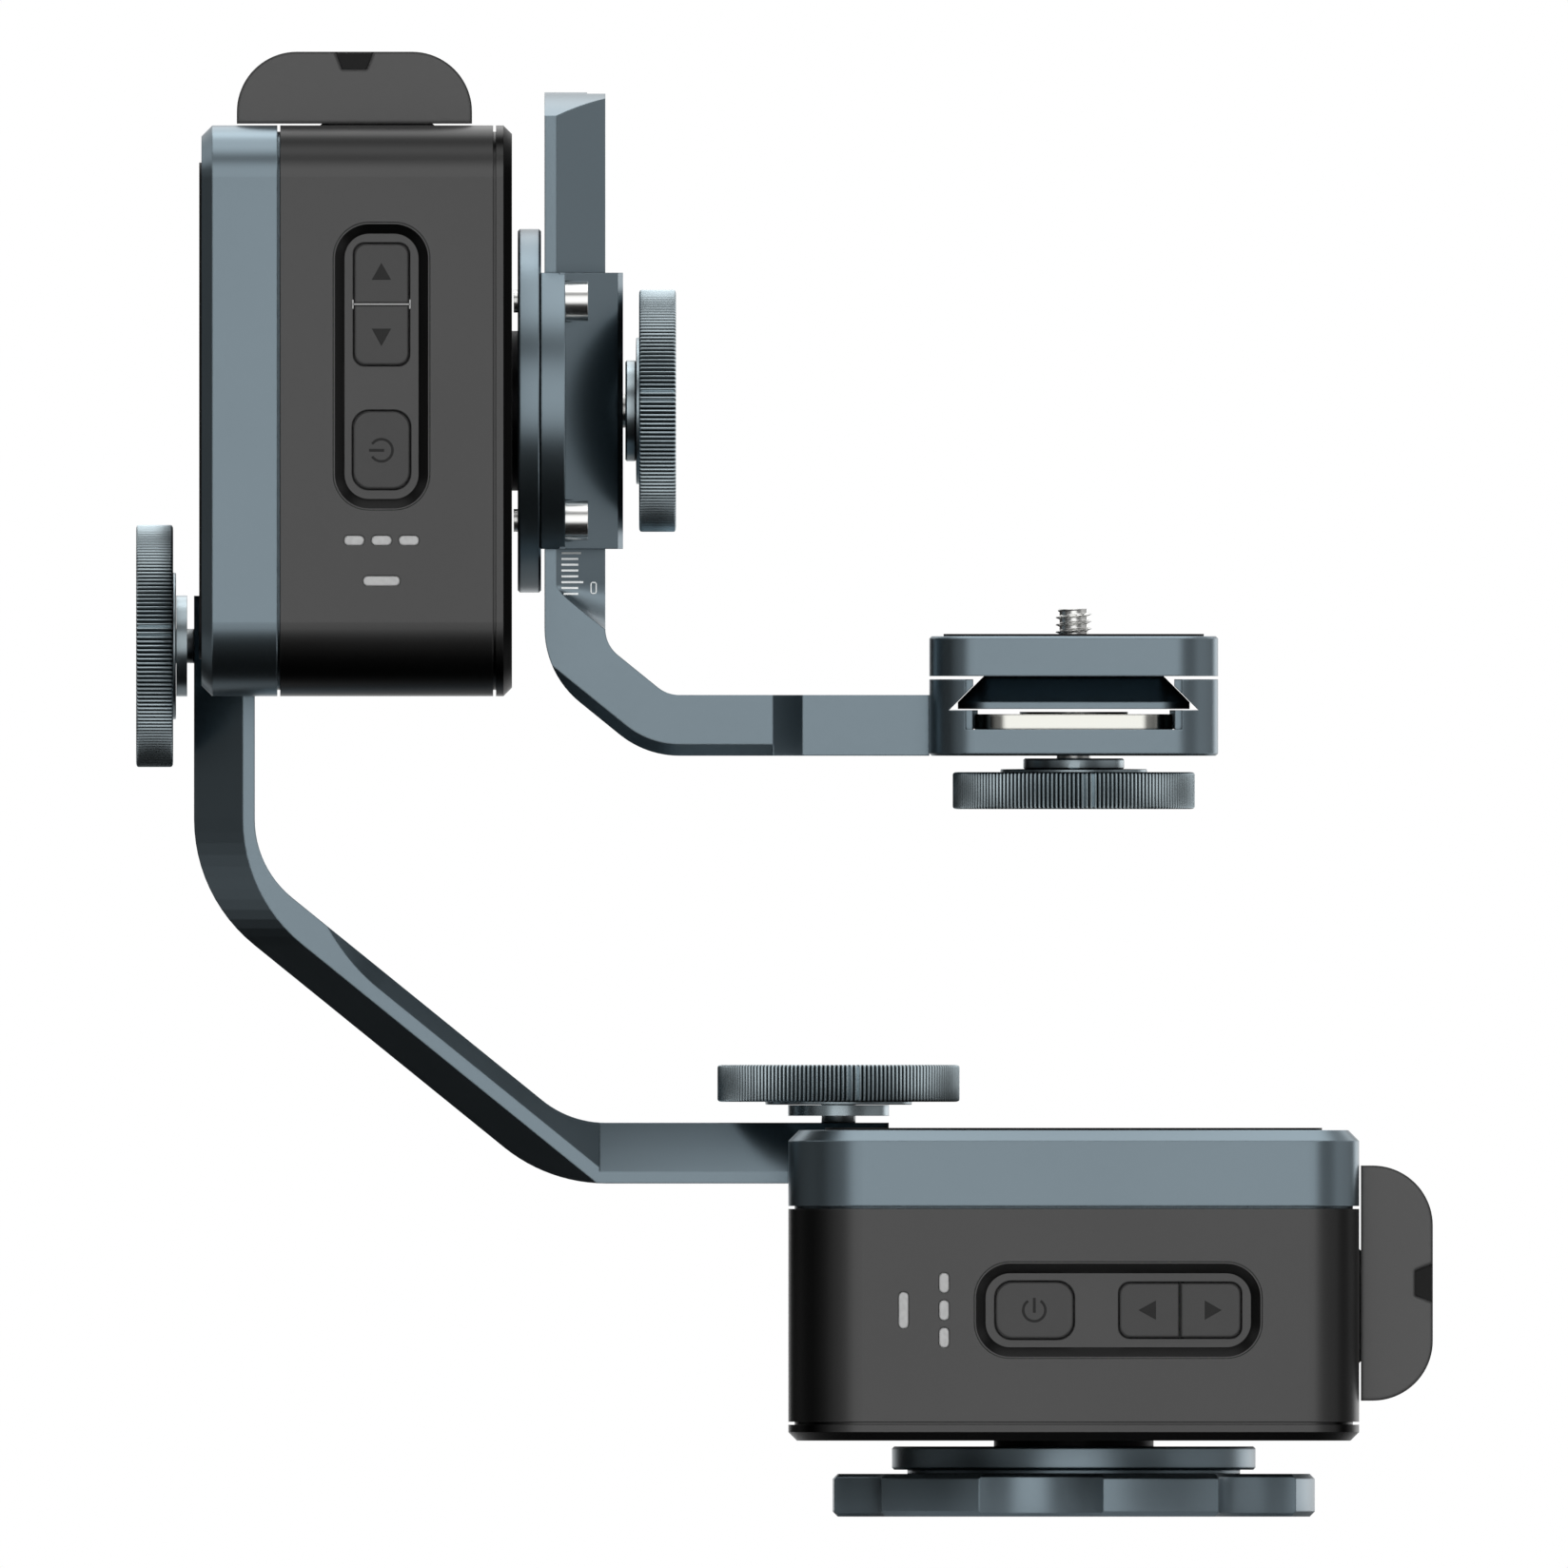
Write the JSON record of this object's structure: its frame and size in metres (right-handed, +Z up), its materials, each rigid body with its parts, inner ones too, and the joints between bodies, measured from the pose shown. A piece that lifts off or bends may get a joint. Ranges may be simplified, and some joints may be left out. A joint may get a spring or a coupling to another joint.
{
  "type": "motorized panoramic head",
  "caption": "Motorized panoramic head: pan and tilt motor units joined by a bent arm, with a sliding dovetail camera arm and a quick release clamp.",
  "frame": {"origin": "bottom centre of the base plate, on the pan axis, at the mouth of the tripod thread", "axes": "+Z up along the pan axis, +X to the battery side, -Y to the front with the keys"},
  "size_m": [0.2272, 0.1, 0.2566],
  "materials": {
    "blue_grey_metal": "satin blue-grey anodising",
    "black_metal": "black anodising",
    "gear_brass": "machined",
    "bearing_steel": "ground steel",
    "motor_steel": "plated can",
    "black_case": "fine matte grain",
    "dark_case": "fine matte grain",
    "dark_metal": "dark satin anodising",
    "screw_steel": "plated",
    "board_green": "solder mask",
    "key_grey": "soft satin",
    "lamp_window": "frosted light pipe",
    "bright_steel": "bright turned steel",
    "polished_metal": "polished",
    "grip_rubber": "fine ribs",
    "knob_metal": "dark anodising, straight knurl"
  },
  "bodies": {
    "base": {"base_plate": "blue_grey_metal", "base_screws": "screw_steel", "pan_output_disc": "blue_grey_metal", "pan_output_shaft": "black_metal", "pan_output_gear": "gear_brass"},
    "pan_body": {"pan_bearings": "bearing_steel", "pan_motor": "motor_steel", "pan_base_cover": "black_case", "pan_housing": "dark_metal", "pan_cap": "blue_grey_metal", "pan_cap_plate": "black_case", "pan_cover_screws": "screw_steel", "pan_circuit_board": "board_green", "pan_button_bezel": "dark_case", "pan_indicator_lights": "lamp_window", "tilt_bearings": "bearing_steel", "tilt_motor": "motor_steel", "tilt_base_cover": "black_case", "tilt_housing": "dark_metal", "tilt_cap": "blue_grey_metal", "tilt_cap_plate": "black_case", "tilt_cover_screws": "screw_steel", "tilt_circuit_board": "board_green", "tilt_button_bezel": "dark_case", "tilt_indicator_lights": "lamp_window", "link_arm": "blue_grey_metal"},
    "pan_pinion": {"pan_drive_pinion": "bearing_steel"},
    "tilt_pinion": {"tilt_drive_pinion": "bearing_steel"},
    "tilt_head": {"tilt_output_disc": "blue_grey_metal", "tilt_output_shaft": "black_metal", "tilt_output_gear": "gear_brass", "rail_clamp": "blue_grey_metal", "clamp_screws": "bright_steel"},
    "camera_arm": {"camera_arm": "blue_grey_metal", "quick_release_base": "blue_grey_metal"},
    "camera_plate": {"quick_release_plate": "blue_grey_metal", "plate_pad": "grip_rubber"},
    "camera_screw": {"camera_screw": "bright_steel"},
    "pressure_plate": {"pressure_plate": "polished_metal"},
    "release_knob": {"quick_release_knob": "knob_metal", "quick_release_screw": "bright_steel"},
    "clamp_pad": {"clamp_pad": "black_case"},
    "clamp_knob": {"clamp_knob": "knob_metal", "clamp_knob_screw": "bright_steel"},
    "pan_arm_washer": {"pan_arm_washer": "knob_metal"},
    "pan_arm_knob": {"pan_arm_knob": "knob_metal", "pan_arm_screw": "bright_steel"},
    "tilt_arm_washer": {"tilt_arm_washer": "knob_metal"},
    "tilt_arm_knob": {"tilt_arm_knob": "knob_metal", "tilt_arm_screw": "bright_steel"},
    "pan_power_button": {"pan_power_button": "key_grey"},
    "pan_left_key": {"pan_left_key": "key_grey"},
    "pan_right_key": {"pan_right_key": "key_grey"},
    "pan_battery": {"pan_battery_pack": "dark_case"},
    "pan_battery_latch": {"pan_battery_latch": "black_case"},
    "tilt_power_button": {"tilt_power_button": "key_grey"},
    "tilt_down_key": {"tilt_down_key": "key_grey"},
    "tilt_up_key": {"tilt_up_key": "key_grey"},
    "tilt_battery": {"tilt_battery_pack": "dark_case"},
    "tilt_battery_latch": {"tilt_battery_latch": "black_case"}
  },
  "joints": [
    {"name": "pan_turn", "type": "hinge", "parent": "base", "child": "pan_body", "pos_m": [0, 0, 0.0123], "axis": [0, 0, 1], "continuous": true},
    {"name": "pan_pinion_spin", "type": "hinge", "parent": "pan_body", "child": "pan_pinion", "pos_m": [0, 0.0312, 0.0465], "axis": [0, 0, 1], "continuous": true},
    {"name": "tilt_turn", "type": "hinge", "parent": "pan_body", "child": "tilt_head", "pos_m": [-0.0974, 0, 0.1937], "axis": [1, 0, 0], "continuous": true},
    {"name": "tilt_pinion_spin", "type": "hinge", "parent": "pan_body", "child": "tilt_pinion", "pos_m": [-0.1316, 0.0312, 0.1937], "axis": [1, 0, 0], "continuous": true},
    {"name": "camera_arm_slide", "type": "slide", "parent": "tilt_head", "child": "camera_arm", "axis": [0, 0, 1], "range_m": [-0.03, 0.003]},
    {"name": "plate_slide", "type": "slide", "parent": "camera_arm", "child": "camera_plate", "axis": [0, 1, 0], "range_m": [-0.052, 0.052]},
    {"name": "camera_screw_turn", "type": "hinge", "parent": "camera_plate", "child": "camera_screw", "pos_m": [0, 0, 0.15], "axis": [0, 0, 1], "continuous": true},
    {"name": "pressure_plate_slide", "type": "slide", "parent": "camera_arm", "child": "pressure_plate", "axis": [0, 0, -1], "range_m": [-0.00035, 0.00025]},
    {"name": "release_knob_turn", "type": "hinge", "parent": "pressure_plate", "child": "release_knob", "pos_m": [0, 0, 0.128], "axis": [0, 0, -1], "range_deg": [-126, 90]},
    {"name": "clamp_pad_slide", "type": "slide", "parent": "tilt_head", "child": "clamp_pad", "axis": [1, 0, 0], "range_m": [0, 0.001]},
    {"name": "clamp_knob_turn", "type": "hinge", "parent": "clamp_pad", "child": "clamp_knob", "pos_m": [-0.073, 0, 0.1937], "axis": [1, 0, 0], "range_deg": [0, 360]},
    {"name": "pan_arm_washer_slide", "type": "slide", "parent": "pan_body", "child": "pan_arm_washer", "axis": [0, 0, 1], "range_m": [-0.001, 0.002]},
    {"name": "pan_arm_knob_turn", "type": "hinge", "parent": "pan_arm_washer", "child": "pan_arm_knob", "pos_m": [-0.0412, 0, 0.076], "axis": [0, 0, 1], "range_deg": [-360, 720]},
    {"name": "tilt_arm_washer_slide", "type": "slide", "parent": "pan_body", "child": "tilt_arm_washer", "axis": [-1, 0, 0], "range_m": [-0.001, 0.002]},
    {"name": "tilt_arm_knob_turn", "type": "hinge", "parent": "tilt_arm_washer", "child": "tilt_arm_knob", "pos_m": [-0.1611, 0, 0.1525], "axis": [-1, 0, 0], "range_deg": [-360, 720]},
    {"name": "pan_power_button_press", "type": "slide", "parent": "pan_body", "child": "pan_power_button", "axis": [0, 1, 0], "range_m": [0, 0.0008], "stiffness_N_per_m": 400, "springref_m": -0.002},
    {"name": "pan_left_key_press", "type": "slide", "parent": "pan_body", "child": "pan_left_key", "axis": [0, 1, 0], "range_m": [0, 0.0008], "stiffness_N_per_m": 400, "springref_m": -0.002},
    {"name": "pan_right_key_press", "type": "slide", "parent": "pan_body", "child": "pan_right_key", "axis": [0, 1, 0], "range_m": [0, 0.0008], "stiffness_N_per_m": 400, "springref_m": -0.002},
    {"name": "pan_battery_slide", "type": "slide", "parent": "pan_body", "child": "pan_battery", "axis": [0, 1, 0], "range_m": [0, 0.082]},
    {"name": "pan_battery_latch_slide", "type": "slide", "parent": "pan_battery", "child": "pan_battery_latch", "axis": [0, 1, 0], "range_m": [0, 0.004], "stiffness_N_per_m": 200, "springref_m": -0.003},
    {"name": "tilt_power_button_press", "type": "slide", "parent": "pan_body", "child": "tilt_power_button", "axis": [0, 1, 0], "range_m": [0, 0.0008], "stiffness_N_per_m": 400, "springref_m": -0.002},
    {"name": "tilt_down_key_press", "type": "slide", "parent": "pan_body", "child": "tilt_down_key", "axis": [0, 1, 0], "range_m": [0, 0.0008], "stiffness_N_per_m": 400, "springref_m": -0.002},
    {"name": "tilt_up_key_press", "type": "slide", "parent": "pan_body", "child": "tilt_up_key", "axis": [0, 1, 0], "range_m": [0, 0.0008], "stiffness_N_per_m": 400, "springref_m": -0.002},
    {"name": "tilt_battery_slide", "type": "slide", "parent": "pan_body", "child": "tilt_battery", "axis": [0, 1, 0], "range_m": [0, 0.082]},
    {"name": "tilt_battery_latch_slide", "type": "slide", "parent": "tilt_battery", "child": "tilt_battery_latch", "axis": [0, 1, 0], "range_m": [0, 0.004], "stiffness_N_per_m": 200, "springref_m": -0.003}
  ],
  "couplings": [
    {"joint": "pan_pinion_spin", "follows": "pan_turn", "ratio": 3.5882},
    {"joint": "tilt_pinion_spin", "follows": "tilt_turn", "ratio": -3.5882},
    {"joint": "pressure_plate_slide", "follows": "release_knob_turn", "m_per_rad": 0.00015915},
    {"joint": "clamp_pad_slide", "follows": "clamp_knob_turn", "m_per_rad": 0.00015915},
    {"joint": "pan_arm_washer_slide", "follows": "pan_arm_knob_turn", "m_per_rad": 0.00015915},
    {"joint": "tilt_arm_washer_slide", "follows": "tilt_arm_knob_turn", "m_per_rad": 0.00015915}
  ]
}
